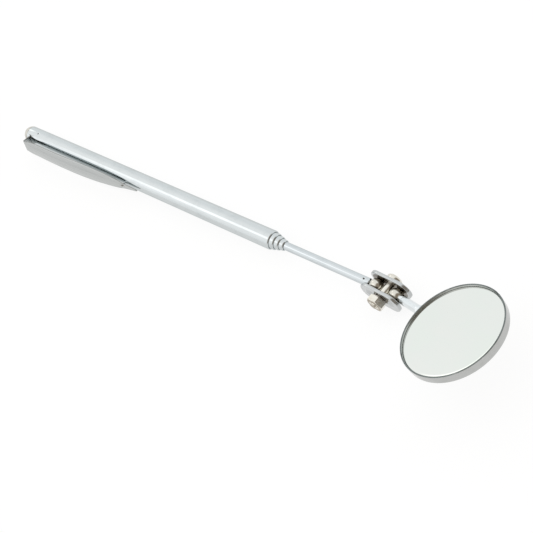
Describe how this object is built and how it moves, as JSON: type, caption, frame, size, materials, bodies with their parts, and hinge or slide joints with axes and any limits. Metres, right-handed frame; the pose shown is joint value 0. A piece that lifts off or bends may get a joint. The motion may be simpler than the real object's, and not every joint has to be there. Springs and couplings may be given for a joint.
{
  "type": "telescoping inspection mirror",
  "caption": "Pocket inspection mirror: a tube handle with a clip, nested sliding tubes, a two-ball clamp that swivels, and a round mirror in a metal cup.",
  "frame": {"origin": "centre of the handle tube's front rim, on the tube's axis", "axes": "+X forward along the tubes towards the mirror, +Z the side that the mirror faces, the clamp's nut on -Y"},
  "size_m": [0.2239, 0.033, 0.0279],
  "materials": {
    "tube_chrome": "bright chrome plate",
    "rod_chrome": "bright chrome plate",
    "bush_brass": "turned brass",
    "spring_bronze": "rolled spring bronze",
    "plug_nickel": "warm satin nickel plate",
    "clip_steel": "plated spring steel, brushed along its length",
    "plate_chrome": "pressed plate, chrome plated, slightly dull",
    "bolt_nickel": "warm nickel plate",
    "washer_steel": "dark spring steel",
    "ball_nickel": "bright nickel plate",
    "stem_chrome": "bright chrome plate",
    "cup_chrome": "satin chrome plate",
    "pad_foam": "thin adhesive foam",
    "mirror_glass": "back-silvered float glass, faintly green"
  },
  "bodies": {
    "handle": {"handle_tube": "tube_chrome", "end_plug": "plug_nickel"},
    "clip": {"pocket_clip": "clip_steel"},
    "section_2": {"section_2_tube": "tube_chrome", "section_2_bush": "bush_brass", "section_2_spring": "spring_bronze"},
    "section_3": {"section_3_tube": "tube_chrome", "section_3_bush": "bush_brass", "section_3_spring": "spring_bronze"},
    "section_4": {"section_4_tube": "tube_chrome", "section_4_bush": "bush_brass", "section_4_spring": "spring_bronze"},
    "rod": {"rod_tube": "rod_chrome", "rod_bush": "bush_brass", "rod_spring": "spring_bronze"},
    "rod_ball": {"rod_ball_stud": "ball_nickel"},
    "clamp": {"near_plate": "plate_chrome", "far_plate": "plate_chrome", "clamp_bolt": "bolt_nickel", "lock_washer": "washer_steel", "clamp_nut": "bolt_nickel"},
    "mirror_ball": {"mirror_ball_stud": "ball_nickel"},
    "mirror_head": {"mirror_stem": "stem_chrome", "mirror_cup": "cup_chrome", "backing_pad": "pad_foam", "mirror_glass": "mirror_glass"}
  },
  "joints": [
    {"name": "clip_flex", "type": "hinge", "parent": "handle", "child": "clip", "pos_m": [-0.12675, -0.00336, 0.00097], "axis": [0, -0.2756, -0.9613], "range_deg": [0, 3], "stiffness_Nm_per_rad": 1, "springref_deg": -1.15},
    {"name": "section_2_slide", "type": "slide", "parent": "handle", "child": "section_2", "axis": [1, 0, 0], "range_m": [0, 0.111]},
    {"name": "section_3_slide", "type": "slide", "parent": "section_2", "child": "section_3", "axis": [1, 0, 0], "range_m": [0, 0.106]},
    {"name": "section_4_slide", "type": "slide", "parent": "section_3", "child": "section_4", "axis": [1, 0, 0], "range_m": [0, 0.1]},
    {"name": "rod_slide", "type": "slide", "parent": "section_4", "child": "rod", "axis": [1, 0, 0], "range_m": [-0.03, 0.066]},
    {"name": "rod_swivel", "type": "hinge", "parent": "rod", "child": "rod_ball", "pos_m": [0.0417, 0, 0], "axis": [1, 0, 0], "continuous": true},
    {"name": "clamp_swing", "type": "hinge", "parent": "rod_ball", "child": "clamp", "pos_m": [0.0417, 0, 0], "axis": [-0.1392, -0.9903, 0], "range_deg": [-114, 86]},
    {"name": "mirror_swing", "type": "hinge", "parent": "clamp", "child": "mirror_ball", "pos_m": [0.05016, -0.00119, 0.00213], "axis": [0.1392, 0.9903, 0], "range_deg": [-87.6, 112.4]},
    {"name": "mirror_swivel", "type": "hinge", "parent": "mirror_ball", "child": "mirror_head", "pos_m": [0.05016, -0.00119, 0.00213], "axis": [0.8599, -0.2579, 0.4405], "continuous": true}
  ]
}
